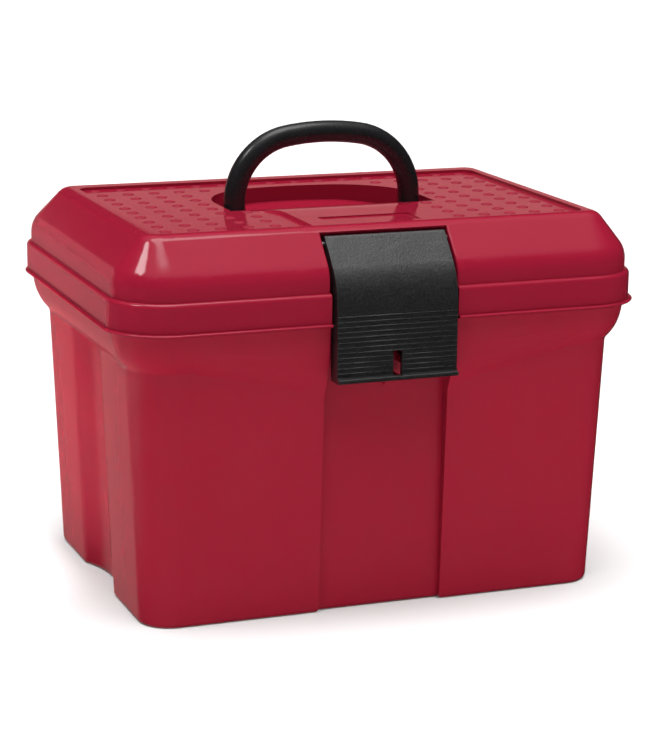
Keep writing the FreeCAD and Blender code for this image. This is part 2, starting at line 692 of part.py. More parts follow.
def lid_pockets(body, name, shrink, below):
    """Cut the sunken panel, the handle's well and the latch's recess into a form of the lid."""
    # Sunken panel, with the tongue that leads from the latch to the handle left standing
    side = f"({TOP_HALF} - <panel_side> + {shrink})"
    lead = f"(-{FRONT} + <top_front> + <panel_margin>)"
    front = f"({lead} - {shrink})"
    back = f"({FRONT} - <top_back> - <panel_back> + {shrink})"
    panel = outline(body, f"{name}_panel", f"2 * {side}", f"{back} - {front}", f"<panel_corner> + {shrink}",
                    f"{PANEL_Z} - {shrink}", f"({front} + {back}) / 2")
    extrude(body, "Pocket", f"{name}_panel_cut", panel, "2 * <panel_sink>", back=True)
    foot = f"(<tongue_width> / 2 + <panel_sink> * tan(<tongue_taper>) - {shrink})"
    tongue = tongue_outline(body, f"{name}_tongue", foot, f"{front} - <panel_sink>",
                            f"{lead} + <tongue_straight>", f"<tongue_flare> + {shrink}",
                            f"{PANEL_Z} - {shrink}")
    raised = extrude(body, "Pad", f"{name}_tongue_pad", tongue, "<panel_sink>")
    raised.setExpression("TaperAngle", dims("-<tongue_taper>"))

    # The tongue and the panel's edge roll down to the front of the well
    roll = roll_outline(body, f"{name}_roll", "-<well_front> - <roll_start>", f"{TOP_Z} - {shrink}",
                        f"<roll_radius> - {shrink}", "0")
    extrude(body, "Pocket", f"{name}_roll_cut", roll, f"2 * ({WELL_SIDE} + {shrink})", "Symmetric")

    # Well for the folded handle; its floor lies along the handle
    depth = f"(<handle_tube> / 2 + <rest_gap> + {shrink})"
    well = arch(body, f"{name}_well", "XY_Plane", f"2 * ({WELL_SIDE} + {shrink})",
                f"<handle_rise> + <handle_tube> / 2 + <well_gap> + {shrink}",
                f"<handle_corner> + <handle_tube> / 2 + <well_gap> + {shrink}",
                f"<handle_bow> + <handle_tube> / 2 + <well_gap> + {shrink}",
                f"-<well_front> - {shrink}", True, f"{PIVOT_Z} - {depth} * cos(<well_tilt>)",
                f"{depth} * sin(<well_tilt>)", "<well_tilt>")
    extrude(body, "Pocket", f"{name}_well_cut", well, "4 * <pivot_sink>", back=True)

    # Recess for the latch, through the shoulder and the skirt
    slope = "<latch_slope>"
    floor = f"(<latch_floor> + {shrink})"
    gap = f"(<latch_top_gap> + {shrink})"
    clear = "<flange_depth> / 4"
    wall = f"(-<recess_rim> + {shrink})"
    floor_top = f"({LATCH_TOP_Y} + {floor} * sin({slope}))"
    recess = polygon(body, f"{name}_recess", "YZ_Plane", [
        (f"{LATCH_TOP_Y} + {gap} * cos({slope}) - {clear} * sin({slope})",
         f"{LATCH_TOP_Z} + {gap} * sin({slope}) + {clear} * cos({slope})"),
        (f"{LATCH_TOP_Y} + {gap} * cos({slope}) + {floor} * sin({slope})",
         f"{LATCH_TOP_Z} + {gap} * sin({slope}) - {floor} * cos({slope})"),
        (wall, f"{LATCH_TOP_Z} - {floor} * cos({slope}) - ({floor_top} - {wall}) * tan({slope})"),
        (wall, below),
        ("-<flange_depth>", below),
        ("-<flange_depth>", f"{LATCH_TOP_Z} + {clear}"),
    ])
    extrude(body, "Pocket", f"{name}_recess_cut", recess,
            f"<latch_width> + 2 * <latch_side_gap> + 2 * {shrink}", "Symmetric")


lid_outside = lid_form("lid_outside", "0", True)
lid_pockets(lid_outside, "lid_outside", "0", f"{FLANGE_Z} - <flange_thick>")
RECESS_HALF = "(<latch_width> / 2 + <latch_side_gap>)"


def recess_edge(edge, slack=0.01):
    """Test for the edges where the sides of the latch's recess meet the dome."""
    box = edge.BoundBox
    upright = box.XLength < slack and abs(abs(box.XMin) - measure(RECESS_HALF)) < slack
    return upright and box.ZMax > measure(STEP_Z) + 1 and box.YMin < measure(LATCH_TOP_Y) - 1


round_edges(lid_outside, "recess_edges", recess_edge, "<recess_round>")
LABEL_Y = f"(-{FRONT} + <top_front> + <panel_margin> + <label_from> + <label_depth> / 2)"
label_field = outline(lid_outside, "label_field", "<label_width>", "<label_depth>", "<label_corner>",
                      f"{TOP_Z} - <label_sink>", LABEL_Y)
extrude(lid_outside, "Pocket", "label_cut", label_field, "<panel_sink>", back=True)
lid_inside = lid_form("lid_inside", "<lid_wall>", False)
lid_pockets(lid_inside, "lid_inside", "<lid_wall>", CEILING_Z)
lid_walls = cut("lid_walls", lid_outside, lid_inside)

# Lid: its walls with the sockets for the handle's trunnions, the latch pin's holes and hinge knuckles
TRUNNION_END = f"({WELL_SIDE} + <trunnion_grip>)"
sockets = []
socket_bores = []
for side, sign in SIDES:
    start = f"-{TRUNNION_END} - <lid_wall>" if sign else WELL_SIDE
    bore_start = f"-{TRUNNION_END}" if sign else f"{WELL_SIDE} - <well_gap>"
    sockets.append(rod(f"socket_{side}", "<trunnion> / 2 + <lid_wall>", "<trunnion_grip> + <lid_wall>",
                       start, "0", PIVOT_Z))
    socket_bores.append(rod(f"socket_bore_{side}", "<trunnion> / 2 + <turn_fit>",
                            "<trunnion_grip> + <well_gap>", bore_start, "0", PIVOT_Z))

SKIRT_BACK = f"({FRONT} - <skirt_inset>)"
lid_web = [
    (f"{SKIRT_BACK} - <lid_wall> / 2", f"{FLANGE_Z} + <flange_thick> / 2"),
    (f"{HINGE_Y} - <knuckle> / 2", HINGE_Z),
    (f"{HINGE_Y} + <knuckle> / 2", HINGE_Z),
    (f"{HINGE_Y} + <knuckle> / 2", f"{HINGE_Z} + <hinge_sink>"),
    (f"{SKIRT_BACK} + <skirt_inset>", f"{CEILING_Z} - <lid_wall>"),
    (f"{SKIRT_BACK} - <lid_wall> / 2", f"{CEILING_Z} - <lid_wall>"),
]
lid_leaf = hinge_leaf("lid_leaf", lid_web, [("-<knuckle_length> / 2", "<knuckle_length>")])
PIN_HALF = f"({RECESS_HALF} + <lid_wall>)"
latch_bore = rod("latch_bore", "<latch_pin> / 2 + <pin_fit>", f"2 * {PIN_HALF}", f"-{PIN_HALF}",
                 PIN_Y, PIN_Z)
lid_solid = fuse("lid_solid", [lid_walls] + sockets + lid_leaf)
lid_bores = fuse("lid_bores", socket_bores + [latch_bore] + pin_bores("lid", "<turn_fit>"))
lid_shell = cut("lid_shell", lid_solid, lid_bores)


def handle_bail():
    """Round bar bent into an arch, with a trunnion at each foot."""
    body = new_body("handle_bail")
    spine = arch(body, "handle_line", "XZ_Plane", "<handle_span>", f"{PIVOT_Z} + <handle_rise>",
                 "<handle_corner>", "<handle_bow>", PIVOT_Z, False)
    section = new_sketch(body, "handle_section", "XY_Plane", PIVOT_Z)
    centre = FreeCAD.Vector(measure("<handle_span> / 2"), 0)
    section.addGeometry(Part.Circle(centre, FreeCAD.Vector(0, 0, 1), measure("<handle_tube> / 2")))
    section.addConstraint(Sketcher.Constraint("PointOnObject", 0, 3, -1))
    bind(section, "Radius", (0,), "<handle_tube> / 2", "radius")
    bind(section, "DistanceX", (-1, 1, 0, 3), "<handle_span> / 2", "across")
    doc.recompute()
    bar = body.newObject("PartDesign::AdditivePipe", "handle_bar")
    bar.Profile = section
    bar.Spine = (spine, [f"Edge{n}" for n in range(1, 6)])
    for side, sign in SIDES:
        foot = body.newObject("PartDesign::AdditiveSphere", f"handle_foot_{side}")
        support = [item for item in body.Origin.OriginFeatures if item.Role == "XY_Plane"][0]
        foot.AttachmentSupport = [(support, "")]
        foot.MapMode = "FlatFace"
        foot.setExpression("Radius", dims("<handle_tube> / 2"))
        foot.setExpression("AttachmentOffset.Base.x", dims(f"{sign}<handle_span> / 2"))
        foot.setExpression("AttachmentOffset.Base.z", dims(PIVOT_Z))
        stub = new_sketch(body, f"trunnion_{side}_outline", "YZ_Plane", f"{sign}<handle_span> / 2")
        stub.addGeometry(Part.Circle(FreeCAD.Vector(0, measure(PIVOT_Z)), FreeCAD.Vector(0, 0, 1),
                                     measure("<trunnion> / 2")))
        stub.addConstraint(Sketcher.Constraint("PointOnObject", 0, 3, -2))
        bind(stub, "Radius", (0,), "<trunnion> / 2", "radius")
        bind(stub, "DistanceY", (-1, 1, 0, 3), PIVOT_Z, "height")
        extrude(body, "Pad", f"trunnion_{side}", stub,
                f"{TRUNNION_END} - <handle_span> / 2 - <rest_gap>", back=bool(sign))
    return body


handle = handle_bail()


def latch_line(depth, extra="0"):
    """Top and bend of the latch's section at a depth behind its face."""
    slope = "<latch_slope>"
    top = (f"{LATCH_TOP_Y} + {depth} * sin({slope}) + {extra} * cos({slope})",
           f"{LATCH_TOP_Z} - {depth} * cos({slope}) + {extra} * sin({slope})")
    bend = (f"{LATCH_Y} + {depth}", f"{BEND_Z} - {depth} * cos({slope}) / (1 + sin({slope}))")
    return top, bend


def across_edge(point, slack=0.01):
    """Test for edges along X through a point of the YZ outline."""
    y = measure(point[0])
    z = measure(point[1])

    def wanted(edge):
        box = edge.BoundBox
        flat = box.YLength < slack and box.ZLength < slack and box.XLength > 1
        return flat and abs(box.YMin - y) < slack and abs(box.ZMin - z) < slack

    return wanted


def latch_flap():
    """Curved channel with a ribbed grip, a slot for a padlock, a lip and two hooks."""
    body = new_body("latch_flap")
    top, bend = latch_line("0")
    back_top, back_bend = latch_line("<latch_depth>")
    bottom = "<latch_bottom>"
    section = polygon(body, "latch_section", "YZ_Plane", [
        top, bend, (LATCH_Y, bottom), (f"{LATCH_Y} + <latch_depth>", bottom), back_bend, back_top])
    extrude(body, "Pad", "latch_block", section, "<latch_width>", "Symmetric")
    round_edges(body, "latch_bend_front", across_edge(bend), "<latch_bend>")
    round_edges(body, "latch_bend_back", across_edge(back_bend), "<latch_bend> - <latch_depth>")
    round_edges(body, "latch_top_round", across_edge(top), "<latch_plate>")
    round_edges(body, "latch_ear_round", across_edge(back_top), "<latch_depth> / 2")

    inner_top, inner_bend = latch_line("<latch_plate>", "2 * <latch_depth>")
    behind = f"{LATCH_TOP_Y} + 4 * <latch_depth>"
    hollow = polygon(body, "latch_hollow_section", "YZ_Plane", [
        inner_top, inner_bend, (f"{LATCH_Y} + <latch_plate>", f"{bottom} - <latch_plate>"),
        (behind, f"{bottom} - <latch_plate>"), (behind, inner_top[1])])
    extrude(body, "Pocket", "latch_hollow", hollow, "<latch_width> - 2 * <latch_plate>", "Symmetric")
    round_edges(body, "latch_bend_inner", across_edge(inner_bend), "<latch_bend> - <latch_plate>")

    lip = polygon(body, "latch_lip_section", "YZ_Plane", [
        (f"{LATCH_Y} + <latch_plate> / 2", bottom), (f"{LATCH_Y} - <latch_lip>", bottom),
        (f"{LATCH_Y} - <latch_lip>", f"{bottom} + <latch_plate>"),
        (f"{LATCH_Y} + <latch_plate> / 2", f"{bottom} + <lip_root>")])
    extrude(body, "Pad", "latch_lip_bar", lip, "<latch_width>", "Symmetric")
    for word, level in (("low", bottom), ("high", f"{bottom} + <latch_plate>")):
        round_edges(body, f"latch_lip_{word}", across_edge((f"{LATCH_Y} - <latch_lip>", level)),
                    "<lip_round>")

    for side, start in (("left", "-<hook_from> - <hook_width>"), ("right", "<hook_from>")):
        hook = polygon(body, f"latch_hook_{side}_section", "YZ_Plane", [
            (f"{LATCH_Y} + <latch_plate> / 2", HOOK_Z), (HOOK_BACK, HOOK_Z),
            (HOOK_BACK, f"{HOOK_Z} + <hook_thick>"),
            (f"{LATCH_Y} + <latch_plate> / 2", f"{HOOK_Z} + <hook_thick>")], start)
        extrude(body, "Pad", f"latch_hook_{side}", hook, "<hook_width>")

    slot_top = f"{HOOK_Z} + <slot_height>"
    slot = polygon(body, "latch_slot_outline", "XZ_Plane", [
        ("-<slot_width> / 2", HOOK_Z), ("<slot_width> / 2", HOOK_Z),
        ("<slot_width> / 2", slot_top), ("-<slot_width> / 2", slot_top)])
    extrude(body, "Pocket", "latch_slot", slot, "<flange_depth>", back=True)
    return body


latch_body = latch_flap()
latch_turn_bore = rod("latch_turn_bore", "<latch_pin> / 2 + <turn_fit>", f"2 * {PIN_HALF}", f"-{PIN_HALF}",
                      PIN_Y, PIN_Z)
latch = cut("latch", latch_body, latch_turn_bore)
latch_hinge_pin = rod("latch_hinge_pin", "<latch_pin> / 2", f"2 * {PIN_HALF} - 2 * <rest_gap>",
                      f"-{PIN_HALF} + <rest_gap>", PIN_Y, PIN_Z)
pin_length = "<knuckle_length> + 2 * <tub_knuckle_length> + 2 * <knuckle_gap> - 2 * <rest_gap>"
hinge_pins = [rod(f"hinge_pin_{side}", "<hinge_pin> / 2", pin_length,
                  f"{sign}<hinge_place> - ({pin_length}) / 2", HINGE_Y, HINGE_Z) for side, sign in SIDES]


# Tray: sits on the shelves that the end scoops leave inside the tub
TRAY_TOP = f"({WAIST} + <tub_wall> + <tray_seat>)"
TRAY_LOW = f"({TRAY_TOP} - <tray_depth>)"


def tray_form(name, shrink, rise):
    """Drafted block of the tray, or of its inside when shrunk."""
    body = new_body(name)
    draft = "atan(<tray_draft> / <tray_depth>)"
    low = outline(body, f"{name}_floor", f"<tray_length> - 2 * <tray_draft> - 2 * {shrink}",
                  f"<tray_width> - 2 * <tray_draft> - 2 * {shrink}",
                  f"<tray_corner> - <tray_draft> - {shrink}", f"{TRAY_LOW} + {shrink}")
    walls = extrude(body, "Pad", f"{name}_walls", low, f"<tray_depth> - {shrink} + {rise}")
    walls.setExpression("TaperAngle", dims(draft))
    return body


tray_outside = tray_form("tray_outside", "0", "0")
tray_inside = tray_form("tray_inside", "<tray_wall>", "2 * <tray_wall>")
tray_room = tray_form("tray_room", "(<tray_wall> + <divider_gap>)", "0")
tray_rim = new_body("tray_rim")
extrude(tray_rim, "Pad", "tray_rim_pad", outline(
    tray_rim, "tray_rim_outline", "<tray_length> + 2 * <tray_ledge>", "<tray_width> + <tray_ledge>",
    "<tray_corner>", TRAY_TOP), "<tray_wall>")
tray_walls = cut("tray_walls", fuse("tray_block", [tray_outside, tray_rim]), tray_inside)

rail = block("tray_rail_block", "<tray_length>", "<tray_wall>", "<tray_depth>",
             "-<tray_length> / 2", "<rail_place>", TRAY_LOW)
GUIDE_REACH = "(<tray_draft> + <tray_wall> + <guide_size>)"
guides = []
for side, sign in SIDES:
    for index, offset in enumerate(("<divider_thick> / 2 + <divider_gap>",
                                    "-<divider_thick> / 2 - <divider_gap> - <guide_size>")):
        left = f"{sign}<divider_place> + {offset}"
        guides.append(block(f"guide_front_{side}_{index}", "<guide_size>", GUIDE_REACH, "<guide_height>",
                            left, "-<tray_width> / 2", TRAY_LOW))
        guides.append(block(f"guide_rail_{side}_{index}", "<guide_size>", "<guide_size>",
                            "<guide_height>", left, "<rail_place> - <guide_size>", TRAY_LOW))
tray_ribs = common("tray_ribs", fuse("tray_rib_blocks", [rail] + guides), tray_outside)
lift_out_tray = fuse("lift_out_tray", [tray_walls, tray_ribs])

dividers = []
for side, sign in SIDES:
    slab = block(f"divider_block_{side}", "<divider_thick>",
                 "<tray_width> / 2 + <rail_place> - <divider_gap>", "<divider_height>",
                 f"{sign}<divider_place> - <divider_thick> / 2", "-<tray_width> / 2", TRAY_LOW)
    dividers.append(common(f"tray_divider_{side}", slab, tray_room))

subparts = {
    "tub_shell": tub_shell,
    "hinge_pin_left": hinge_pins[0],
    "hinge_pin_right": hinge_pins[1],
    "lid_shell": lid_shell,
    "handle_bail": handle,
    "latch_flap": latch,
    "latch_hinge_pin": latch_hinge_pin,
    "lift_out_tray": lift_out_tray,
    "tray_divider_left": dividers[0],
    "tray_divider_right": dividers[1],
}
for label, item in subparts.items():
    item.Label = label
doc.recompute()

failed = [item.Name for item in doc.Objects if "Invalid" in item.State or "Error" in item.State]
failed += [label for label, item in subparts.items() if item.Shape.isNull() or not item.Shape.isValid()]
if failed:
    raise RuntimeError("not built: " + ", ".join(failed))

os.makedirs("parts", exist_ok=True)
for label, item in subparts.items():
    item.Shape.exportStep(f"parts/{label}.step")
    box = item.Shape.optimalBoundingBox()
    print(f"{label}: {len(item.Shape.Solids)} solid, {item.Shape.Volume / 1000:.1f} cm3, "
          f"{box.XLength:.1f} x {box.YLength:.1f} x {box.ZLength:.1f}")
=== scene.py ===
import math

import bmesh
import bpy
from mathutils import Matrix, Vector


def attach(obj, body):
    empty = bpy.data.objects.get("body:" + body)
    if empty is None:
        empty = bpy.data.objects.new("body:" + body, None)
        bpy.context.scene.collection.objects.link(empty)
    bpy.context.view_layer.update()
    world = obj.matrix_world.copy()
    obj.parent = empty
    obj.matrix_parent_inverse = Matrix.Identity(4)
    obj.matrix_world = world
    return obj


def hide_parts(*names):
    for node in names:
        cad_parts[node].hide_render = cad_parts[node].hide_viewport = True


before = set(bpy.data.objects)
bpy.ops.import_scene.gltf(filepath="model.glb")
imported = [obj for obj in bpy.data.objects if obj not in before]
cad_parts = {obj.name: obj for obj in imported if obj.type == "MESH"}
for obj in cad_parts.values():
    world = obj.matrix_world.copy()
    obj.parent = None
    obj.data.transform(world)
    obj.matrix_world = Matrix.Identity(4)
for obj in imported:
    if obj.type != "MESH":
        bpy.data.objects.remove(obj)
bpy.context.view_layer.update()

# Tub: one deep injection moulding in crimson polypropylene, with drafted walls and a wider collar.
# Its outside has the faint even grain that a sparked mould leaves, and a satin shine.

# Places of the colour sockets on a Mix node.
COLOUR_A = 6
COLOUR_B = 7
COLOUR_OUT = 2


def skin_group():
    """Moulded plastic's skin: slow colour drift, fine grain and the shine that goes with it."""
    group = bpy.data.node_groups.new("moulded_skin", "ShaderNodeTree")
    face = group.interface
    for word in ("Pale", "Deep"):
        face.new_socket(word, in_out="INPUT", socket_type="NodeSocketColor")
    for word in ("Drift Scale", "Grain Scale", "Smooth", "Dull"):
        face.new_socket(word, in_out="INPUT", socket_type="NodeSocketFloat")
    face.new_socket("Color", in_out="OUTPUT", socket_type="NodeSocketColor")
    face.new_socket("Roughness", in_out="OUTPUT", socket_type="NodeSocketFloat")
    face.new_socket("Height", in_out="OUTPUT", socket_type="NodeSocketFloat")
    nodes = group.nodes
    link = group.links.new
    given = nodes.new("NodeGroupInput")
    result = nodes.new("NodeGroupOutput")
    spot = nodes.new("ShaderNodeTexCoord")

    drift = nodes.new("ShaderNodeTexNoise")
    drift.inputs["Detail"].default_value = 2.0
    link(spot.outputs["Object"], drift.inputs["Vector"])
    link(given.outputs["Drift Scale"], drift.inputs["Scale"])
    spread = nodes.new("ShaderNodeMapRange")
    spread.inputs["From Min"].default_value = 0.3
    spread.inputs["From Max"].default_value = 0.7
    link(drift.outputs["Fac"], spread.inputs["Value"])
    tint = nodes.new("ShaderNodeMix")
    tint.data_type = "RGBA"
    link(spread.outputs["Result"], tint.inputs["Factor"])
    link(given.outputs["Pale"], tint.inputs[COLOUR_A])
    link(given.outputs["Deep"], tint.inputs[COLOUR_B])
    link(tint.outputs[COLOUR_OUT], result.inputs["Color"])

    grain = nodes.new("ShaderNodeTexNoise")
    grain.inputs["Detail"].default_value = 3.0
    grain.inputs["Roughness"].default_value = 0.6
    link(spot.outputs["Object"], grain.inputs["Vector"])
    link(given.outputs["Grain Scale"], grain.inputs["Scale"])
    flow = nodes.new("ShaderNodeTexNoise")
    flow.inputs["Scale"].default_value = 60.0
    flow.inputs["Detail"].default_value = 1.0
    link(spot.outputs["Object"], flow.inputs["Vector"])
    blend = nodes.new("ShaderNodeMath")
    blend.operation = "ADD"
    link(grain.outputs["Fac"], blend.inputs[0])
    link(flow.outputs["Fac"], blend.inputs[1])
    link(blend.outputs["Value"], result.inputs["Height"])

    shine = nodes.new("ShaderNodeMapRange")
    shine.inputs["From Min"].default_value = 0.7
    shine.inputs["From Max"].default_value = 1.3
    link(blend.outputs["Value"], shine.inputs["Value"])
    link(given.outputs["Smooth"], shine.inputs["To Min"])
    link(given.outputs["Dull"], shine.inputs["To Max"])
    link(shine.outputs["Result"], result.inputs["Roughness"])
    return group


moulded_skin = skin_group()


def moulded_plastic(name, pale, deep, smooth, dull, grain, bump, distance=0.0002, drift=9.0, mirror=0.5):
    """Plastic with the moulded skin; smooth and dull are the limits of its roughness."""
    material = bpy.data.materials.new(name)
    material.use_nodes = True
    nodes = material.node_tree.nodes
    link = material.node_tree.links.new
    shader = nodes["Principled BSDF"]
    skin = nodes.new("ShaderNodeGroup")
    skin.node_tree = moulded_skin
    skin.inputs["Pale"].default_value = (*pale, 1)
    skin.inputs["Deep"].default_value = (*deep, 1)
    skin.inputs["Smooth"].default_value = smooth
    skin.inputs["Dull"].default_value = dull
    skin.inputs["Grain Scale"].default_value = grain
    skin.inputs["Drift Scale"].default_value = drift
    link(skin.outputs["Color"], shader.inputs["Base Color"])
    link(skin.outputs["Roughness"], shader.inputs["Roughness"])
    relief = nodes.new("ShaderNodeBump")
    relief.inputs["Strength"].default_value = bump
    relief.inputs["Distance"].default_value = distance
    link(skin.outputs["Height"], relief.inputs["Height"])
    link(relief.outputs["Normal"], shader.inputs["Normal"])
    shader.inputs["IOR"].default_value = 1.49
    shader.inputs["Specular IOR Level"].default_value = mirror
    return material


def moulding(name, node, body, material, crease=28):
    """Merged, smoothly shaded copy of a solid of the frame, shown in its place; crease is in degrees."""
    merge_gap = 2e-6
    face_weight = 60
    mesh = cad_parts[node].data.copy()
    mesh.name = name
    for layer in ("custom_normal", "sharp_edge", "sharp_face"):
        if layer in mesh.attributes:
            mesh.attributes.remove(mesh.attributes[layer])
    form = bmesh.new()
    form.from_mesh(mesh)
    bmesh.ops.remove_doubles(form, verts=form.verts, dist=merge_gap)
    bmesh.ops.dissolve_degenerate(form, edges=form.edges, dist=merge_gap)
    form.to_mesh(mesh)
    form.free()
    mesh.shade_smooth()
    mesh.set_sharp_from_angle(angle=math.radians(crease))
    mesh.materials.clear()
    mesh.materials.append(material)
    piece = bpy.data.objects.new(name, mesh)
    bpy.context.collection.objects.link(piece)
    even = piece.modifiers.new("even_normals", "WEIGHTED_NORMAL")
    even.keep_sharp = True
    even.weight = face_weight
    settled = piece.evaluated_get(bpy.context.evaluated_depsgraph_get())
    finished = bpy.data.meshes.new_from_object(settled)
    piece.modifiers.clear()
    piece.data = finished
    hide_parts(node)
    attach(piece, body)


tub_red = moulded_plastic("tub_red", pale=(0.325, 0.0087, 0.027), deep=(0.315, 0.0083, 0.0257),
                          smooth=0.17, dull=0.22, grain=1100, bump=0.02)
moulding("tub", "tub_shell", "tub", tub_red)

# Pins: three drawn steel rods. Two are pressed into the tub's knuckles at the back, and the lid turns
# on them; the third lies across the lid's recess and carries the latch.


def drawn_steel(name):
    """Steel with the fine lines that drawing leaves along a rod."""
    lines_along = 8
    lines_across = 900
    material = bpy.data.materials.new(name)
    material.use_nodes = True
    nodes = material.node_tree.nodes
    link = material.node_tree.links.new
    spot = nodes.new("ShaderNodeTexCoord")
    stretch = nodes.new("ShaderNodeMapping")
    stretch.inputs["Scale"].default_value = (lines_along, lines_across, lines_across)
    lines = nodes.new("ShaderNodeTexNoise")
    lines.inputs["Scale"].default_value = 1.0
    link(spot.outputs["Object"], stretch.inputs["Vector"])
    link(stretch.outputs["Vector"], lines.inputs["Vector"])
    tone = nodes.new("ShaderNodeValToRGB")
    tone.color_ramp.elements[0].color = (0.42, 0.42, 0.43, 1)
    tone.color_ramp.elements[1].color = (0.62, 0.62, 0.63, 1)
    link(lines.outputs["Fac"], tone.inputs["Fac"])
    shine = nodes.new("ShaderNodeMapRange")
    shine.inputs["To Min"].default_value = 0.22
    shine.inputs["To Max"].default_value = 0.42
    link(lines.outputs["Fac"], shine.inputs["Value"])
    shader = nodes["Principled BSDF"]
    shader.inputs["Metallic"].default_value = 1.0
    link(tone.outputs["Color"], shader.inputs["Base Color"])
    link(shine.outputs["Result"], shader.inputs["Roughness"])
    return material


pin_steel = drawn_steel("pin_steel")
for pin, body in (("hinge_pin_left", "tub"), ("hinge_pin_right", "tub"), ("latch_hinge_pin", "lid")):
    moulding(f"{pin}_rod", pin, body, pin_steel)

# Tray: a thin black polypropylene moulding with one rail, resting on the shelves inside the tub.
# Two loose cross walls slide down between its guide ribs.
tray_black = moulded_plastic("tray_black", pale=(0.017, 0.017, 0.018), deep=(0.013, 0.013, 0.014),
                             smooth=0.34, dull=0.46, grain=1300, bump=0.06)
moulding("tray", "lift_out_tray", "tray", tray_black)
for side in ("left", "right"):
    moulding(f"divider_{side}", f"tray_divider_{side}", "tray", tray_black)

# Lid: a polished moulding in the same crimson, with sloping shoulders and a sunken top panel.
# It hangs on the two rear pins and carries the handle and the latch.
lid_red = moulded_plastic("lid_red", pale=(0.252, 0.0080, 0.0255), deep=(0.246, 0.0077, 0.0245),
                          smooth=0.09, dull=0.13, grain=700, bump=0.008)
moulding("lid", "lid_shell", "lid", lid_red, crease=50)

# Dots: low round bumps moulded on the sunken panel of the lid, in rows 20 mm apart.
# Their tops are left dull, so they stay dark where the panel mirrors the light.
dot_red = moulded_plastic("dot_red", pale=(0.235, 0.0079, 0.025), deep=(0.225, 0.0075, 0.0235),
                          smooth=0.38, dull=0.46, grain=1500, bump=0.05)


def sized_tree(name, lengths, counts):
    """Geometry node tree with named inputs for its lengths, its counts and its finish."""
    tree = bpy.data.node_groups.new(name, "GeometryNodeTree")
    face = tree.interface
    face.new_socket("Geometry", in_out="INPUT", socket_type="NodeSocketGeometry")
    for word in lengths:
        face.new_socket(word, in_out="INPUT", socket_type="NodeSocketFloat")
    for word in counts:
        face.new_socket(word, in_out="INPUT", socket_type="NodeSocketInt")
    face.new_socket("Finish", in_out="INPUT", socket_type="NodeSocketMaterial")
    face.new_socket("Geometry", in_out="OUTPUT", socket_type="NodeSocketGeometry")
    return tree


def feed(tree, socket, value):
    """Set an input of a tree's node to a number, or link an output to it."""
    if isinstance(value, (int, float)):
        socket.default_value = value
    else:
        tree.links.new(value, socket)


def summing(tree):
    """Function that adds a math node on outputs or numbers to a tree."""
    def sums(operation, *values):
        node = tree.nodes.new("ShaderNodeMath")
        node.operation = operation
        for socket, value in zip(node.inputs, values):
            feed(tree, socket, value)
        return node.outputs["Value"]

    return sums


def vector(tree, **parts):
    """Vector from outputs or numbers by axis, nil along the others."""
    node = tree.nodes.new("ShaderNodeCombineXYZ")
    for axis, value in parts.items():
        feed(tree, node.inputs[axis], value)
    return node.outputs["Vector"]


def point_parts(tree):
    """Outputs X, Y and Z of the place of each point."""
    place = tree.nodes.new("GeometryNodeInputPosition")
    parts = tree.nodes.new("ShaderNodeSeparateXYZ")
    tree.links.new(place.outputs["Position"], parts.inputs["Vector"])
    return parts.outputs


def close_tree(tree, copies, finish):
    """End a tree: its instances made real, shaded smooth and given their finish."""
    whole = tree.nodes.new("GeometryNodeRealizeInstances")
    tree.links.new(copies, whole.inputs["Geometry"])
    smooth = tree.nodes.new("GeometryNodeSetShadeSmooth")
    tree.links.new(whole.outputs["Geometry"], smooth.inputs["Geometry"])
    paint = tree.nodes.new("GeometryNodeSetMaterial")
    tree.links.new(smooth.outputs["Geometry"], paint.inputs["Geometry"])
    tree.links.new(finish, paint.inputs["Material"])
    result = tree.nodes.new("NodeGroupOutput")
    tree.links.new(paint.outputs["Geometry"], result.inputs["Geometry"])


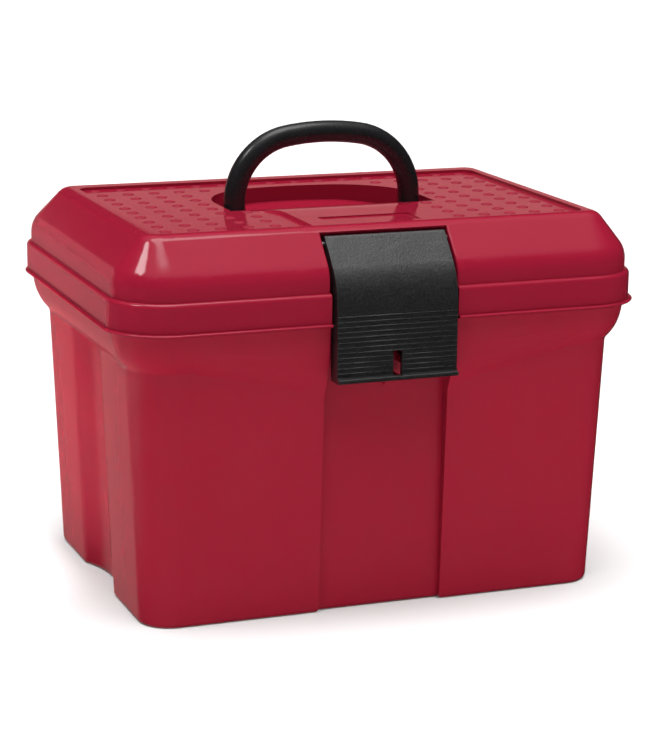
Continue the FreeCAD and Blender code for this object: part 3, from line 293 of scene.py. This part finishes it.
def dot_tree():
    """Rows of low bumps on the panel, left out on the tongue and round the handle's well."""
    dot_segments = 16
    dot_rings = 6
    tree = sized_tree("panel_dots", counts=("Columns", "Rows"), lengths=(
        "Pitch", "Dot Radius", "Dot Height", "Panel Height", "Row Shift", "Tongue Half",
        "Well Half", "Well Core", "Well Bend", "Well Front"))
    nodes = tree.nodes
    link = tree.links.new
    sums = summing(tree)
    given = nodes.new("NodeGroupInput").outputs

    field = nodes.new("GeometryNodeMeshGrid")
    for axis, number in (("X", given["Columns"]), ("Y", given["Rows"])):
        link(sums("MULTIPLY", sums("SUBTRACT", number, 1), given["Pitch"]), field.inputs[f"Size {axis}"])
        link(number, field.inputs[f"Vertices {axis}"])
    level = nodes.new("GeometryNodeTransform")
    link(field.outputs["Mesh"], level.inputs["Geometry"])
    link(vector(tree, Y=given["Row Shift"], Z=given["Panel Height"]), level.inputs["Translation"])

    parts = point_parts(tree)
    across = sums("ABSOLUTE", parts["X"])
    along = parts["Y"]
    on_tongue = sums("MULTIPLY", sums("LESS_THAN", across, given["Tongue Half"]),
                     sums("LESS_THAN", along, given["Well Front"]))
    side_reach = sums("MAXIMUM", sums("SUBTRACT", across, given["Well Core"]), 0.0)
    back_reach = sums("MAXIMUM", sums("SUBTRACT", along, given["Well Bend"]), 0.0)
    reach = sums("SQRT", sums("ADD", sums("MULTIPLY", side_reach, side_reach),
                              sums("MULTIPLY", back_reach, back_reach)))
    in_well = sums("MULTIPLY", sums("LESS_THAN", reach, given["Well Half"]),
                   sums("GREATER_THAN", along, given["Well Front"]))
    keep = sums("LESS_THAN", sums("ADD", on_tongue, in_well), 0.5)

    bump = nodes.new("GeometryNodeMeshUVSphere")
    bump.inputs["Segments"].default_value = dot_segments
    bump.inputs["Rings"].default_value = dot_rings
    link(given["Dot Radius"], bump.inputs["Radius"])
    squat = nodes.new("GeometryNodeTransform")
    link(bump.outputs["Mesh"], squat.inputs["Geometry"])
    flatness = sums("DIVIDE", given["Dot Height"], given["Dot Radius"])
    link(vector(tree, X=1.0, Y=1.0, Z=flatness), squat.inputs["Scale"])
    spread = nodes.new("GeometryNodeInstanceOnPoints")
    link(level.outputs["Geometry"], spread.inputs["Points"])
    link(keep, spread.inputs["Selection"])
    link(squat.outputs["Geometry"], spread.inputs["Instance"])
    close_tree(tree, spread.outputs["Instances"], given["Finish"])
    return tree


def grown(name, tree, values, body):
    """Plain mesh piece from a geometry node tree with its inputs set."""
    piece = bpy.data.objects.new(name, bpy.data.meshes.new(name))
    bpy.context.collection.objects.link(piece)
    grower = piece.modifiers.new(name, "NODES")
    grower.node_group = tree
    for item in tree.interface.items_tree:
        if item.in_out == "INPUT" and item.name in values:
            grower[item.identifier] = values[item.name]
    settled = piece.evaluated_get(bpy.context.evaluated_depsgraph_get())
    mesh = bpy.data.meshes.new_from_object(settled)
    piece.modifiers.clear()
    piece.data = mesh
    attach(piece, body)


grown("lid_dots", dot_tree(), {
    "Pitch": 0.020, "Dot Radius": 0.0044, "Dot Height": 0.0007, "Panel Height": 0.2769, "Row Shift": -0.002,
    "Columns": 16, "Rows": 10, "Tongue Half": 0.058, "Well Half": 0.066, "Well Core": 0.021,
    "Well Bend": 0.0127, "Well Front": -0.020, "Finish": dot_red,
}, "lid")

# Latch: a black channel that turns on the steel pin in the lid's recess and hooks under the tub's noses.
# Its face has a leathery grain, with fine grip ribs across the lower half; the pale specks of its grain are
# partly painted sparkle for glints of light.
latch_black = moulded_plastic("latch_black", pale=(0.0205, 0.0205, 0.0210), deep=(0.0065, 0.0065, 0.0065),
                              smooth=0.28, dull=0.42, grain=900, bump=1.0, distance=0.0003, drift=700.0,
                              mirror=1.0)
latch_shader = latch_black.node_tree.nodes["Principled BSDF"]
latch_shader.inputs["Coat Weight"].default_value = 0.4
latch_shader.inputs["Coat Roughness"].default_value = 0.35
# The ribs' finish is paler than the latch's black: a painted highlight for the light that catches their
# edges from above.
painted_highlight_black = moulded_plastic("painted_highlight_black", pale=(0.034, 0.034, 0.035), deep=(0.018, 0.018, 0.019),
                               smooth=0.22, dull=0.34, grain=700, bump=0.3, drift=300.0, mirror=1.0)
moulding("latch", "latch_flap", "latch", latch_black)


def rib_tree():
    """Level half-round ribs one above the other, the lower ones split by the padlock's slot."""
    rib_segments = 12
    tree = sized_tree("grip_ribs", counts=("Count",), lengths=(
        "Pitch", "Rib Radius", "Half Width", "Face Place", "First Height", "Slot Half", "Slot Top"))
    nodes = tree.nodes
    link = tree.links.new
    sums = summing(tree)
    given = nodes.new("NodeGroupInput").outputs

    column = nodes.new("GeometryNodeMeshLine")
    link(given["Count"], column.inputs["Count"])
    link(vector(tree, Y=given["Face Place"], Z=given["First Height"]), column.inputs["Start Location"])
    link(vector(tree, Z=given["Pitch"]), column.inputs["Offset"])
    above = sums("GREATER_THAN", point_parts(tree)["Z"], given["Slot Top"])
    below = sums("SUBTRACT", 1.0, above)
    long = sums("MULTIPLY", given["Half Width"], 2.0)
    short = sums("SUBTRACT", given["Half Width"], given["Slot Half"])
    right = sums("MULTIPLY", sums("ADD", given["Half Width"], given["Slot Half"]), 0.5)
    left = sums("MULTIPLY", right, -1.0)
    joined = nodes.new("GeometryNodeJoinGeometry")
    for length, shift, chosen in ((long, 0.0, above), (short, right, below), (short, left, below)):
        bar = nodes.new("GeometryNodeMeshCylinder")
        bar.inputs["Vertices"].default_value = rib_segments
        link(given["Rib Radius"], bar.inputs["Radius"])
        link(length, bar.inputs["Depth"])
        lying = nodes.new("GeometryNodeTransform")
        lying.inputs["Rotation"].default_value = (0, math.pi / 2, 0)
        link(bar.outputs["Mesh"], lying.inputs["Geometry"])
        link(vector(tree, X=shift), lying.inputs["Translation"])
        copies = nodes.new("GeometryNodeInstanceOnPoints")
        link(column.outputs["Mesh"], copies.inputs["Points"])
        link(chosen, copies.inputs["Selection"])
        link(lying.outputs["Geometry"], copies.inputs["Instance"])
        link(copies.outputs["Instances"], joined.inputs["Geometry"])
    close_tree(tree, joined.outputs["Geometry"], given["Finish"])
    return tree


grown("latch_ribs", rib_tree(), {
    "Pitch": 0.00362, "Rib Radius": 0.00045, "Half Width": 0.0446, "Face Place": -0.15020,
    "First Height": 0.1814, "Slot Half": 0.0040, "Slot Top": 0.1957, "Count": 12, "Finish": painted_highlight_black,
}, "latch")

# Handle: a black bail of round section, moulded in one piece with a trunnion at each foot.
# The trunnions turn in the lid's sockets. It is smooth and satin, with a soft shine along its bend.
handle_black = moulded_plastic("handle_black", pale=(0.012, 0.012, 0.013), deep=(0.009, 0.009, 0.010),
                               smooth=0.22, dull=0.30, grain=1200, bump=0.03)
moulding("handle", "handle_bail", "handle", handle_black, crease=40)

# Floor: a plain pale studio floor that runs out of view all round.
# It is matt, and the box's polished faces don't mirror it.
FLOOR_HALF = 20.0
floor_mesh = bpy.data.meshes.new("floor")
floor_mesh.from_pydata([(-FLOOR_HALF, -FLOOR_HALF, 0), (FLOOR_HALF, -FLOOR_HALF, 0),
                        (FLOOR_HALF, FLOOR_HALF, 0), (-FLOOR_HALF, FLOOR_HALF, 0)], [], [(0, 1, 2, 3)])
floor = bpy.data.objects.new("floor", floor_mesh)
bpy.context.collection.objects.link(floor)
floor_white = bpy.data.materials.new("floor_white")
floor_white.use_nodes = True
floor_shader = floor_white.node_tree.nodes["Principled BSDF"]
floor_shader.inputs["Base Color"].default_value = (0.71, 0.71, 0.71, 1)
floor_shader.inputs["Roughness"].default_value = 0.9
floor_mesh.materials.append(floor_white)
floor.visible_glossy = False

# Light: a low rose-white screen stands behind the box, in a dark room with a pale ceiling and a skylight.
# A broad soft sun lights box and floor alike; a glow on the floor at the left and a weak lamp in front
# fill the walls, and a small lamp high at the left draws the bright streak on the lid's corner.
SCREEN_ROSE = (0.46, 0.22, 0.21)
world = bpy.data.worlds.new("studio")
bpy.context.scene.world = world
world.use_nodes = True
world_nodes = world.node_tree.nodes
world_link = world.node_tree.links.new
world_sum = summing(world.node_tree)
world_spot = world_nodes.new("ShaderNodeTexCoord")
world_parts = world_nodes.new("ShaderNodeSeparateXYZ")
world_link(world_spot.outputs["Generated"], world_parts.inputs["Vector"])


def world_step(value, begin, finish, low, high):
    """Soft step of the world's light between two values."""
    node = world_nodes.new("ShaderNodeMapRange")
    node.interpolation_type = "SMOOTHSTEP"
    for word, number in (("From Min", begin), ("From Max", finish), ("To Min", low), ("To Max", high)):
        node.inputs[word].default_value = number
    world_link(value, node.inputs["Value"])
    return node.outputs["Result"]


rise = world_parts.outputs["Z"]
sweep = world_sum("ARCTAN2", world_parts.outputs["X"], world_parts.outputs["Y"])
screen_left = world_step(sweep, begin=math.radians(-39), finish=math.radians(-33), low=0.0, high=1.0)
screen_right = world_step(sweep, begin=math.radians(28), finish=math.radians(40), low=1.0, high=0.0)
screen_top = world_step(rise, begin=0.175, finish=0.20, low=1.0, high=0.0)
screen = world_sum("MULTIPLY", world_sum("MULTIPLY", screen_left, screen_right), screen_top)
ceiling = world_step(rise, begin=0.55, finish=0.95, low=0.01, high=0.5)
skylight = world_step(rise, begin=0.928, finish=0.948, low=0.0, high=3.4)
overhead = world_nodes.new("ShaderNodeCombineColor")
for socket in overhead.inputs:
    world_link(world_sum("ADD", ceiling, skylight), socket)
tinted = world_nodes.new("ShaderNodeCombineColor")
for socket, share in zip(tinted.inputs, SCREEN_ROSE):
    world_link(world_sum("MULTIPLY", screen, share), socket)
room = world_nodes.new("ShaderNodeMix")
room.data_type = "RGBA"
room.blend_type = "ADD"
room.inputs["Factor"].default_value = 1.0
world_link(overhead.outputs["Color"], room.inputs[COLOUR_A])
world_link(tinted.outputs["Color"], room.inputs[COLOUR_B])
world_link(room.outputs[COLOUR_OUT], world_nodes["Background"].inputs["Color"])


def aimed(lamp, spot, target, mirrored=False):
    """Lamp set down at a spot and turned to a target, which polished faces may mirror or not."""
    holder = bpy.data.objects.new(lamp.name, lamp)
    holder.location = spot
    holder.rotation_euler = (Vector(target) - Vector(spot)).to_track_quat("-Z", "Y").to_euler()
    holder.visible_glossy = mirrored
    bpy.context.collection.objects.link(holder)


def flat_lamp(name, width, depth, energy):
    """Flat rectangular lamp."""
    lamp = bpy.data.lights.new(name, "AREA")
    lamp.shape = "RECTANGLE"
    lamp.size = width
    lamp.size_y = depth
    lamp.energy = energy
    return lamp


soft_sun = bpy.data.lights.new("soft_sun", "SUN")
soft_sun.energy = 4.0
soft_sun.angle = math.radians(70)
aimed(soft_sun, spot=(-0.1, -0.35, 3.0), target=(0, 0, 0))
left_glow = flat_lamp("left_glow", width=1.0, depth=0.9, energy=20)
left_glow.spread = math.radians(12)
aimed(left_glow, spot=(-0.76, 0.45, 1.0), target=(-0.76, 0.45, 0))
front_fill = flat_lamp("front_fill", width=1.4, depth=0.9, energy=9.5)
aimed(front_fill, spot=(0.35, -2.6, 1.0), target=(0, 0, 0.15))
streak = flat_lamp("streak", width=0.55, depth=0.4, energy=6)
aimed(streak, spot=(-1.33, -0.05, 1.82), target=(-0.15, -0.1, 0.26), mirrored=True)

# Camera: stands at the front left and a little above the box, where the photograph was taken from.
# Its lens is long, and its small shift frames the box as the photograph does.
CAMERA_PLACE = (-0.62124, -1.62960, 0.56429)
CAMERA_RIGHT = Vector((0.93521, -0.35410, 0.01017))
CAMERA_BACK = Vector((-0.34619, -0.90747, 0.23803))
camera = bpy.data.cameras.new("camera")
camera.sensor_width = 36
camera.lens = 113.77
camera.shift_x = 0.00925
camera.shift_y = 0.0110
stand = bpy.data.objects.new("camera", camera)
turn = Matrix((CAMERA_RIGHT, CAMERA_BACK.cross(CAMERA_RIGHT), CAMERA_BACK)).transposed().to_4x4()
stand.matrix_world = Matrix.Translation(CAMERA_PLACE) @ turn
bpy.context.collection.objects.link(stand)
bpy.context.scene.camera = stand
bpy.context.scene.view_settings.view_transform = "Standard"
